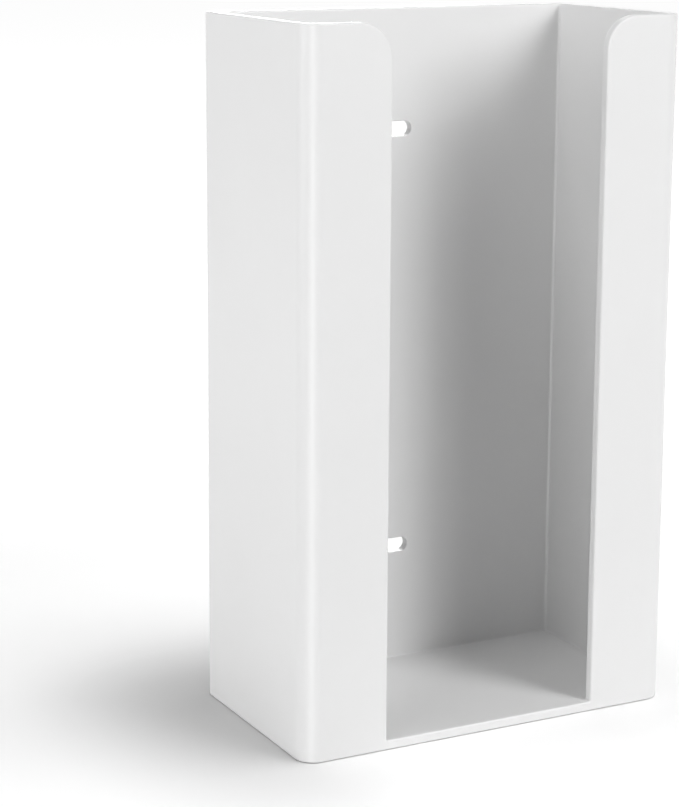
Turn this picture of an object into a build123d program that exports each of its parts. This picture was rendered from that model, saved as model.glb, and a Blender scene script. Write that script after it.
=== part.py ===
from build123d import *
import os

# Disposable glove dispenser: a one-piece moulded holder for a carton of gloves.
# The carton drops in through the open top, and gloves are pulled out through the tall front window.
# The origin is the centre of the base. Z points up, the window faces -Y and the room's wall is at +Y.

# Driving dimensions in millimetres
body_width = 148.0
body_depth = 78.0
body_height = 250.0
wall_thickness = 3.5
floor_thickness = 3.5
flange_width = 32.0
front_corner_radius = 7.0
back_corner_radius = 1.0
shoulder_radius = 12.0
edge_radius = 0.7
slot_length = 14.0
slot_height = 5.5
lower_slot_height = 48.0
upper_slot_drop = 44.0

# Sizes and places that follow from them
cavity_width = body_width - 2 * wall_thickness
cavity_depth = body_depth - 2 * wall_thickness
front_y = -body_depth / 2
back_y = body_depth / 2
window_half_width = body_width / 2 - flange_width
upper_slot_height = body_height - upper_slot_drop

# Rounds stay within the material that carries them
wall_share = 0.4
corner_share = 0.8
soft_edge = min(
    edge_radius,
    wall_share * wall_thickness,
    wall_share * floor_thickness,
    corner_share * back_corner_radius,
)
cavity_corner_radius = max(front_corner_radius - wall_thickness, soft_edge)
flat_flange_width = flange_width - wall_thickness - cavity_corner_radius
shoulder = min(shoulder_radius, flat_flange_width - soft_edge)


def edges_between(edges, axis, low, high):
    """The edges whose middle lies from low to high along the axis."""
    slack = 0.01
    return edges.filter_by_position(axis, low - slack, high + slack)


with BuildPart() as dispenser_body:
    # Outer form, with generous rounds at the front and nearly square corners against the wall
    with BuildSketch(Plane.XY) as footprint:
        Rectangle(body_width, body_depth)
        fillet(footprint.vertices().group_by(Axis.Y)[0], front_corner_radius)
        fillet(footprint.vertices().group_by(Axis.Y)[-1], back_corner_radius)
    extrude(amount=body_height)

    # Cavity for the carton, open at the top, that keeps the wall even round the front corners
    with BuildSketch(Plane.XY.offset(floor_thickness)) as cavity:
        Rectangle(cavity_width, cavity_depth)
        fillet(cavity.vertices().group_by(Axis.Y)[0], cavity_corner_radius)
    extrude(amount=body_height - floor_thickness, mode=Mode.SUBTRACT)

    # Front window from the floor to the open top, which leaves a round-shouldered flange at each side
    with BuildSketch(Plane.XZ.offset(-front_y)) as window:
        with BuildLine() as window_outline:
            sill = Line((0, floor_thickness), (window_half_width, floor_thickness))
            jamb = Line(sill @ 1, (window_half_width, body_height - shoulder))
            round_shoulder = JernArc(start=jamb @ 1, tangent=jamb % 1, radius=shoulder, arc_size=-90)
            Line(round_shoulder @ 1, (0, body_height))
            mirror(about=Plane.YZ)
        make_face()
    extrude(amount=-wall_thickness, mode=Mode.SUBTRACT)

    # Rim and base: every sharp edge there, but not the seams where a shoulder runs into the rim
    sharp_edges = dispenser_body.edges()
    window_reach = window_half_width + shoulder
    window_edges = edges_between(sharp_edges, Axis.X, -window_reach, window_reach)
    rim_edges = edges_between(sharp_edges, Axis.Z, body_height, body_height)
    shoulder_seams = edges_between(rim_edges.filter_by(Axis.Y), Axis.X, -window_reach, window_reach)
    base_edges = edges_between(sharp_edges, Axis.Z, 0, 0)

    # Window: the sill, the jambs and the shoulders, on both sides of each flange
    floor_edges = edges_between(window_edges, Axis.Z, floor_thickness, floor_thickness)
    sill_edges = edges_between(floor_edges, Axis.Y, front_y, front_y)
    jamb_edges = window_edges.filter_by(Axis.Z)
    shoulder_edges = window_edges.filter_by(GeomType.CIRCLE)

    # The mould leaves all of them soft
    soft_edges = rim_edges - shoulder_seams + base_edges + sill_edges + jamb_edges + shoulder_edges
    fillet(soft_edges, soft_edge)

    # Two level slots through the back, one above the other, for the wall screws
    with BuildSketch(Plane.XZ.offset(-back_y)) as wall_slots:
        with Locations((0, lower_slot_height), (0, upper_slot_height)):
            SlotOverall(slot_length, slot_height)
    extrude(amount=wall_thickness, mode=Mode.SUBTRACT)

dispenser_body.part.label = "dispenser_body"

os.makedirs("parts", exist_ok=True)
export_step(dispenser_body.part, "parts/dispenser_body.step")
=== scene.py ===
import math

import bmesh
import bpy
import numpy as np
from mathutils import Matrix, Vector


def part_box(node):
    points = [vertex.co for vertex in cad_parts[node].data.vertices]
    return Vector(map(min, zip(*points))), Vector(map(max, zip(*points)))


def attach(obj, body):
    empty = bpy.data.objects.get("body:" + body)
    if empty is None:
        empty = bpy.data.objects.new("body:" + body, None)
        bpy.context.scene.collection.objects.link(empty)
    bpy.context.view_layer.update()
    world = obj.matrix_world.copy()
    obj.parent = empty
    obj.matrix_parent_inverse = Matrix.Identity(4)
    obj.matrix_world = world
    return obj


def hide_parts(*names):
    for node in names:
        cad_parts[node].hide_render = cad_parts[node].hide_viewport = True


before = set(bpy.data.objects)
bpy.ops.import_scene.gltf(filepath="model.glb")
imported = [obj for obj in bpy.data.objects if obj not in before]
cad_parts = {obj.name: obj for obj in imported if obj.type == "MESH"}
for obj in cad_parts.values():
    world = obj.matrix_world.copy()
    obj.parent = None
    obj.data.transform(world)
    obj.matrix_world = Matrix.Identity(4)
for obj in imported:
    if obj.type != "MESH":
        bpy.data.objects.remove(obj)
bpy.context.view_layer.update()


# Camera. A long lens stands front left of the dispenser, a little above its rim, and looks slightly down.
# The picture is taken as 679 by 807 pixels. A small shift keeps the uprights nearer to parallel.
LONG_SIDE_PX = 807
FOCAL_PX = 2253.66
SENSOR_MM = 36
camera_place = Vector((-0.39815, -0.68319, 0.29377))
turn_right = math.radians(27.608)
look_down = math.radians(11.0245)
tilt = math.radians(0.2834)

camera_data = bpy.data.cameras.new("camera")
camera_data.sensor_width = SENSOR_MM
camera_data.lens = FOCAL_PX * SENSOR_MM / LONG_SIDE_PX
camera_data.shift_y = -0.10
camera = bpy.data.objects.new("camera", camera_data)
bpy.context.scene.collection.objects.link(camera)
camera.matrix_world = (
    Matrix.Translation(camera_place)
    @ Matrix.Rotation(-turn_right, 4, "Z")
    @ Matrix.Rotation(math.pi / 2 - look_down, 4, "X")
    @ Matrix.Rotation(tilt, 4, "Z")
)
bpy.context.scene.camera = camera


# Dispenser body. One open-topped shell of white plastic, injection moulded in a single shot. The wall
# wraps round a carton of gloves and ends in a round-shouldered flange at each side of the window.
# The mould leaves every free edge soft, and a small round at the foot of the walls inside.
low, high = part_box("dispenser_body")
MM = 0.001
WIDTH, DEPTH, HEIGHT = [(high[i] - low[i]) / MM for i in range(3)]
WALL = 3.5
FLOOR = 3.5
FLANGE = 32.0
FRONT_RADIUS = 7.0
BACK_RADIUS = 1.0
SHOULDER_RADIUS = 12.0
EDGE_RADIUS = 0.7
FOOT_RADIUS = 0.6
CAVITY_CORNER_RADIUS = 1.2
SLOT_LENGTH = 14.0
SLOT_HEIGHT = 5.5
SLOT_CENTRES = (48.0, 206.0)
SLOT_LIP_RADIUS = 0.3
EDGE_STEPS = 6
CORNER_STEPS = 18
SHOULDER_STEPS = 28
SLOT_STEPS = 24

front, back = -DEPTH / 2, DEPTH / 2
jamb = WIDTH / 2 - FLANGE


def circle(centre, radius, start, end, steps):
    """Points and outward directions on a circle. A point is the centre plus the radius times the cosine
    and sine of its angle, and the angles are evenly spaced from the start to the end, in degrees."""
    angles = np.radians(np.linspace(start, end, steps + 1))
    out = np.stack([np.cos(angles), np.sin(angles)], axis=1)
    return np.array(centre) + radius * out, out


def half_outline(inset, front_radius, back_radius):
    """The right half of the outline seen from above, with its outward directions, from front to back.
    Two quarter circles, joined by straight runs, lie the inset within the body's own outline."""
    side = WIDTH / 2 - inset
    near, far = front + inset, back - inset
    front_centre = (side - front_radius, near + front_radius)
    back_centre = (side - back_radius, far - back_radius)
    front_corner, front_out = circle(front_centre, front_radius, -90, 0, CORNER_STEPS)
    back_corner, back_out = circle(back_centre, back_radius, 0, 90, EDGE_STEPS)
    points = np.concatenate([[[0, near]], front_corner, back_corner, [[0, far]]])
    out = np.concatenate([[[0, -1]], front_out, back_out, [[0, 1]]])
    return points, out


def raised(points, z):
    """Plan points (x, y) lifted to the height z."""
    return np.column_stack([points, np.full(len(points), float(z))])


def upright(points, y):
    """Points (x, z) of a drawing on the front or back, set at the depth y."""
    return np.column_stack([points[:, 0], np.full(len(points), float(y)), points[:, 1]])


def rounded_lip(edge, along_face, outward, radius, steps=EDGE_STEPS):
    """A quarter round carried along a sharp edge. Each row is the edge, plus the radius times (1 - sin)
    along the face into the material, minus the radius times (1 - cos) along the face's normal."""
    turn = np.linspace(0, math.pi / 2, steps + 1)[:, None, None]
    return edge + radius * ((1 - np.sin(turn)) * along_face - (1 - np.cos(turn)) * outward)


faces_to_weld = []


def grid(rows):
    """Quads of a surface given as points over two parameters, rows by columns."""
    rows = np.asarray(rows)
    quads = np.stack([rows[:-1, :-1], rows[:-1, 1:], rows[1:, 1:], rows[1:, :-1]], axis=2)
    faces_to_weld.append(quads.reshape(-1, 4, 3))


def panel(*runs):
    """One flat face whose outline is the given runs of points, one after another."""
    faces_to_weld.append(np.concatenate(runs)[None])


# The free edge of the shell: sill, round foot, jamb, shoulder and then the rim round to the back
foot_centre = (jamb - FOOT_RADIUS, FLOOR + FOOT_RADIUS)
foot_arc, foot_in = circle(foot_centre, FOOT_RADIUS, -90, 0, EDGE_STEPS)
shoulder_arc, shoulder_out = circle(
    (jamb + SHOULDER_RADIUS, HEIGHT - SHOULDER_RADIUS), SHOULDER_RADIUS, 180, 90, SHOULDER_STEPS
)
window = np.concatenate([[[0, FLOOR]], foot_arc, shoulder_arc])
window_in = np.concatenate([[[0, -1]], foot_in, -shoulder_out])
jamb_start = len(foot_arc)

outer_plan, outer_out = half_outline(0, FRONT_RADIUS, BACK_RADIUS)
inner_plan, inner_out = half_outline(WALL, FRONT_RADIUS - WALL, CAVITY_CORNER_RADIUS)
rim_count = len(outer_plan) - 1
down = np.tile([0.0, 0.0, -1.0], (rim_count, 1))

window_along = upright(window_in, 0)
outer_edge = np.concatenate([upright(window, front), raised(outer_plan[1:], HEIGHT)])
outer_along = np.concatenate([window_along, down])
outer_normal = np.concatenate([np.tile([0, -1.0, 0], (len(window), 1)), raised(outer_out[1:], 0)])
outer_lip = rounded_lip(outer_edge, outer_along, outer_normal, EDGE_RADIUS)
grid(outer_lip)

jamb_line = window[jamb_start:]
inner_edge = np.concatenate([upright(jamb_line, front + WALL), raised(inner_plan[1:], HEIGHT)])
inner_along = np.concatenate([window_along[jamb_start:], down])
inner_normal = np.concatenate([np.tile([0, 1.0, 0], (len(jamb_line), 1)), raised(-inner_out[1:], 0)])
inner_lip = rounded_lip(inner_edge, inner_along, inner_normal, EDGE_RADIUS)
grid(inner_lip)
grid([outer_lip[-1, jamb_start:], inner_lip[-1]])

# The round at the foot of the walls, from the jamb's front edge round the cavity to the back
lip_section = inner_lip[::-1, 0, :2]
lip_section_out = (lip_section - (jamb + EDGE_RADIUS, front + WALL - EDGE_RADIUS)) / EDGE_RADIUS
foot_line = np.concatenate([outer_lip[-1, jamb_start, None, :2], lip_section, inner_plan[1:]])
foot_normal = np.concatenate([[[-1, 0]], lip_section_out, -inner_out[1:]])
turn = np.linspace(0, math.pi / 2, EDGE_STEPS + 1)[:, None, None]
foot_round = raised(foot_line, FLOOR) + FOOT_RADIUS * (
    (1 - np.sin(turn)) * raised(foot_normal, 0) + (1 - np.cos(turn)) * np.array([0, 0, 1.0])
)
grid(foot_round)

# The round under the outside edge, and the two level faces of the floor
base_lip = rounded_lip(raised(outer_plan, 0), np.array([0, 0, 1.0]), raised(outer_out, 0), EDGE_RADIUS)
grid(base_lip)
panel(base_lip[-1])
panel(outer_lip[-1, :1], foot_round[0])

# Upright faces: corners and sides as strips, and the flat fronts of the flange as one face each
rim_start = len(window)
inner_rim_start = len(jamb_line)
foot_rim_start = 1 + len(lip_section)
grid([base_lip[0, 1:-1], outer_lip[0, rim_start:-1]])
grid([foot_round[-1, foot_rim_start:-1], inner_lip[0, inner_rim_start:-1]])
flange_foot = foot_round[-1, foot_rim_start - 1 : foot_rim_start + 1]
panel(base_lip[0, :2], outer_lip[0, : rim_start + 1][::-1])
panel(flange_foot, inner_lip[0, 1 : inner_rim_start + 1][::-1])

# Two level slots through the back for the wall screws: straight runs and a half round at each end
outside_edge, inside_edge = [], []
for centre in SLOT_CENTRES:
    end_centre = (SLOT_LENGTH / 2 - SLOT_HEIGHT / 2, centre)
    end, end_out = circle(end_centre, SLOT_HEIGHT / 2, -90, 90, SLOT_STEPS)
    outline = np.concatenate([[[0, end[0, 1]]], end, [[0, end[-1, 1]]]])
    away = upright(np.concatenate([[[0, -1]], end_out, [[0, 1]]]), 0)
    outside = rounded_lip(upright(outline, back), away, np.array([0, 1.0, 0]), SLOT_LIP_RADIUS)
    inside_line = upright(outline, back - WALL)
    inside = rounded_lip(inside_line, away, np.array([0, -1.0, 0]), SLOT_LIP_RADIUS)
    grid(outside)
    grid(inside)
    grid([outside[-1], inside[-1]])
    outside_edge.append(outside[0])
    inside_edge.append(inside[0])
panel(base_lip[0, -2:], *outside_edge, outer_lip[0, -2:][::-1])
panel(foot_round[-1, -2:], *inside_edge, inner_lip[0, -2:][::-1])

# The left half is the mirror of the right, and points that meet are welded into one closed shell
corners = np.concatenate([quads.reshape(-1, 3) for quads in faces_to_weld])
sizes = np.concatenate([np.full(len(quads), quads.shape[1]) for quads in faces_to_weld])
corners = np.concatenate([corners, corners * (-1, 1, 1)])
sizes = np.concatenate([sizes, sizes])
WELD_MM = 1e-4
cells = np.round(corners / WELD_MM).astype(np.int64)
_, first, index = np.unique(cells, axis=0, return_index=True, return_inverse=True)
points = corners[first] * MM + (0, (low[1] + high[1]) / 2, low[2])
loops = np.split(index.reshape(-1), np.cumsum(sizes)[:-1])

body_mesh = bpy.data.meshes.new("glove_dispenser_body")
body_mesh.from_pydata(points.tolist(), [], [loop.tolist() for loop in loops])
shell = bmesh.new()
shell.from_mesh(body_mesh)
bmesh.ops.recalc_face_normals(shell, faces=shell.faces)
shell.to_mesh(body_mesh)
shell.free()
body_mesh.shade_smooth()
dispenser = bpy.data.objects.new("glove_dispenser_body", body_mesh)
bpy.context.scene.collection.objects.link(dispenser)
even_shading = dispenser.modifiers.new("even_shading", "WEIGHTED_NORMAL")
even_shading.keep_sharp = True


def linear(hex_colour):
    """An sRGB hex colour as linear red, green, blue and an alpha of one."""
    parts = np.array([int(hex_colour[i : i + 2], 16) for i in (1, 3, 5)]) / 255
    return (*np.where(parts <= 0.04045, parts / 12.92, ((parts + 0.055) / 1.055) ** 2.4), 1.0)


def add(tree, kind, settings=(), inputs=(), links=()):
    """Adds one node with its settings, its socket values and its links from other nodes' sockets."""
    node = tree.nodes.new(kind)
    for name, value in dict(settings).items():
        setattr(node, name, value)
    for name, value in dict(inputs).items():
        node.inputs[name].default_value = value
    for name, (source, socket) in dict(links).items():
        tree.links.new(source.outputs[socket], node.inputs[name])
    return node


# White plastic with the satin finish of a lightly blasted mould. The eye gets an even sheen with one
# soft broad highlight. The tint drifts with the flow of the melt, and the sheen clouds a little.
# The mould's own grain is too fine for the picture to show, so it is drawn half a millimetre coarse.
FLOW_MM = 45.0
CLOUD_MM = 6.0
GRAIN_MM = 0.5
GRAIN_DEPTH_MM = 0.006
white_plastic = bpy.data.materials.new("satin white moulded plastic")
white_plastic.use_nodes = True
tree = white_plastic.node_tree
tree.nodes.clear()
place = add(tree, "ShaderNodeTexCoord")
flow = add(
    tree,
    "ShaderNodeTexNoise",
    inputs={"Scale": 1 / (FLOW_MM * MM), "Detail": 3.0, "Roughness": 0.5},
    links={"Vector": (place, "Object")},
)
tint = add(
    tree,
    "ShaderNodeMix",
    {"data_type": "RGBA"},
    inputs={6: linear("#E6E6E6"), 7: linear("#EAEAEA")},
    links={0: (flow, "Fac")},
)
cloud = add(
    tree,
    "ShaderNodeTexNoise",
    inputs={"Scale": 1 / (CLOUD_MM * MM), "Detail": 4.0},
    links={"Vector": (place, "Object")},
)
sheen = add(
    tree,
    "ShaderNodeMapRange",
    inputs={"From Min": 0.3, "From Max": 0.7, "To Min": 0.39, "To Max": 0.43},
    links={"Value": (cloud, "Fac")},
)
grain = add(
    tree,
    "ShaderNodeTexNoise",
    inputs={"Scale": 1 / (GRAIN_MM * MM), "Detail": 2.0},
    links={"Vector": (place, "Object")},
)
relief = add(
    tree,
    "ShaderNodeBump",
    inputs={"Strength": 0.15, "Distance": GRAIN_DEPTH_MM * MM},
    links={"Height": (grain, "Fac")},
)
finish = add(
    tree,
    "ShaderNodeBsdfPrincipled",
    inputs={"IOR": 1.5},
    links={"Base Color": (tint, 2), "Roughness": (sheen, "Result"), "Normal": (relief, "Normal")},
)
add(tree, "ShaderNodeOutputMaterial", links={"Surface": (finish, "BSDF")})
body_mesh.materials.append(white_plastic)

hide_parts("dispenser_body")
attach(dispenser, "root")


# Studio floor. A smooth white sheet that the dispenser stands on, wide enough to fill every view.
# It carries the soft shadow. Its own glow, which lights nothing, lifts it to the white of the background:
# least close to the dispenser, more a hand's width away and most beyond that. So the glow paints shade
# on the floor round the dispenser's foot, on top of the lamps' own shadow. Its reaches are in metres.
FLOOR_REACH = 6.0
FLOOR_GLOW = 0.08
GLOW_BESIDE = 0.19
BESIDE_START, BESIDE_END = 0.01, 0.08
GLOW_AROUND = 0.7
AROUND_START, AROUND_END = 0.15, 0.7
floor_corners = [(x, y, 0) for x, y in ((-1, -1), (1, -1), (1, 1), (-1, 1))]
floor_mesh = bpy.data.meshes.new("studio_floor")
floor_mesh.from_pydata((np.array(floor_corners) * FLOOR_REACH).tolist(), [], [(0, 1, 2, 3)])
studio_floor = bpy.data.objects.new("studio_floor", floor_mesh)
bpy.context.scene.collection.objects.link(studio_floor)

sheet = bpy.data.materials.new("matte white studio sheet")
sheet.use_nodes = True
tree = sheet.node_tree
tree.nodes.clear()
matte = add(tree, "ShaderNodeBsdfDiffuse", inputs={"Color": linear("#E7E7E7")})


def seen_directly(tree):
    """One for a ray from the eye or off a shiny or clear surface, and nought for any other ray."""
    ray = add(tree, "ShaderNodeLightPath")
    eye = add(
        tree,
        "ShaderNodeMath",
        {"operation": "MAXIMUM"},
        links={0: (ray, "Is Camera Ray"), 1: (ray, "Is Glossy Ray")},
    )
    return add(
        tree,
        "ShaderNodeMath",
        {"operation": "MAXIMUM"},
        links={0: (eye, 0), 1: (ray, "Is Transmission Ray")},
    )


def steps_up(tree, value, start, end, height):
    """A level that eases from nought to the height while the value goes from the start to the end."""
    return add(
        tree,
        "ShaderNodeMapRange",
        {"interpolation_type": "SMOOTHSTEP"},
        inputs={"From Min": start, "From Max": end, "To Min": 0.0, "To Max": height},
        links={"Value": (value, "Value")},
    )


place = add(tree, "ShaderNodeTexCoord")
either_side = add(tree, "ShaderNodeVectorMath", {"operation": "ABSOLUTE"}, links={0: (place, "Object")})
beyond = add(
    tree,
    "ShaderNodeVectorMath",
    {"operation": "SUBTRACT"},
    {1: (WIDTH / 2 * MM, DEPTH / 2 * MM, 0)},
    {0: (either_side, 0)},
)
outside = add(tree, "ShaderNodeVectorMath", {"operation": "MAXIMUM"}, {1: (0, 0, 0)}, {0: (beyond, 0)})
distance = add(tree, "ShaderNodeVectorMath", {"operation": "LENGTH"}, links={0: (outside, 0)})
# Less glow within a hand's width of the dispenser paints shade on the floor round its foot
beside = steps_up(tree, distance, BESIDE_START, BESIDE_END, GLOW_BESIDE)
around = steps_up(tree, distance, AROUND_START, AROUND_END, GLOW_AROUND)
near = add(tree, "ShaderNodeMath", {"operation": "ADD"}, {1: FLOOR_GLOW}, {0: (beside, 0)})
whole = add(tree, "ShaderNodeMath", {"operation": "ADD"}, links={0: (near, 0), 1: (around, 0)})
seen = seen_directly(tree)
level = add(tree, "ShaderNodeMath", {"operation": "MULTIPLY"}, links={0: (whole, 0), 1: (seen, 0)})
glow = add(tree, "ShaderNodeEmission", links={"Strength": (level, 0)})
both = add(tree, "ShaderNodeAddShader", links={0: (matte, 0), 1: (glow, 0)})
add(tree, "ShaderNodeOutputMaterial", links={"Surface": (both, 0)})
floor_mesh.materials.append(sheet)


# Backdrop. A plain white background behind the dispenser, like a paper roll far back in the studio.
# It is seen, and mirrored in the plastic, but sheds no light of its own.
world = bpy.data.worlds.new("studio")
world.use_nodes = True
bpy.context.scene.world = world
tree = world.node_tree
tree.nodes.clear()
seen = seen_directly(tree)
sky = add(tree, "ShaderNodeBackground", inputs={"Color": (1, 1, 1, 1)}, links={"Strength": (seen, 0)})
add(tree, "ShaderNodeOutputWorld", links={"Surface": (sky, 0)})


# Studio lamps. Soft boxes stand round the dispenser and aim at its middle: the key at the front right,
# fills at the left and one behind. Two more light only the floor, and give the shadow to the left.
# A strip that the plastic only mirrors puts the soft highlight on its rounded front corner.
aim = Vector((0, 0, 0.12))
for_body = bpy.data.collections.new("lit_by_body_lamps")
for_body.objects.link(dispenser)
for_floor = bpy.data.collections.new("lit_by_floor_lamps")
for_floor.objects.link(studio_floor)


def soft_box(name, azimuth, elevation, distance, width, height, power, lit):
    """A rectangular lamp that faces the aim, at an azimuth from the front and an elevation in degrees.
    The distance and the two sizes are in metres, the power is in watts, and it lights one collection."""
    bearing = math.radians(azimuth)
    rise = math.radians(elevation)
    run = math.cos(rise)
    towards = Vector((math.sin(bearing) * run, -math.cos(bearing) * run, math.sin(rise)))
    data = bpy.data.lights.new(name, "AREA")
    data.shape = "RECTANGLE"
    data.size, data.size_y = width, height
    data.energy = power
    box = bpy.data.objects.new(name, data)
    bpy.context.scene.collection.objects.link(box)
    box.light_linking.receiver_collection = lit
    facing = towards.to_track_quat("Z", "Y").to_matrix().to_4x4()
    box.matrix_world = Matrix.Translation(aim + towards * distance) @ facing
    return box


lamps = {
    "key_front": (20, 20, 1.8, 0.7, 0.7, 7.3, for_body),
    "key": (30, 25, 1.8, 0.7, 0.7, 9.6, for_body),
    "key_high": (30, 40, 1.8, 0.7, 0.7, 5.9, for_body),
    "fill_front_left": (-60, 35, 1.5, 0.5, 0.6, 3.5, for_body),
    "fill_left": (-80, 15, 1.5, 0.5, 0.6, 3.2, for_body),
    "fill_side": (-95, 6, 1.5, 0.5, 0.6, 5.8, for_body),
    "fill_side_high": (-90, 45, 1.5, 0.5, 0.6, 4.0, for_body),
    "behind": (160, 12, 1.8, 0.7, 0.7, 16.0, for_body),
    "top": (0, 88, 1.5, 0.35, 0.35, 1.5, for_body),
    "floor_front": (45, 40, 1.7, 1.0, 1.0, 4.6, for_floor),
    "floor_top": (50, 80, 1.5, 0.85, 0.85, 25.0, for_floor),
}
for name, settings in lamps.items():
    soft_box(name, *settings)

# The strip reaches below the floor, which doesn't block it, so its highlight runs right down to the base
corner_strip = soft_box("corner_strip", -39, -6, 1.5, 0.45, 1.4, 10.5, for_body)
corner_strip.light_linking.blocker_collection = for_body
corner_strip.visible_diffuse = False

bpy.context.scene.view_settings.view_transform = "Standard"
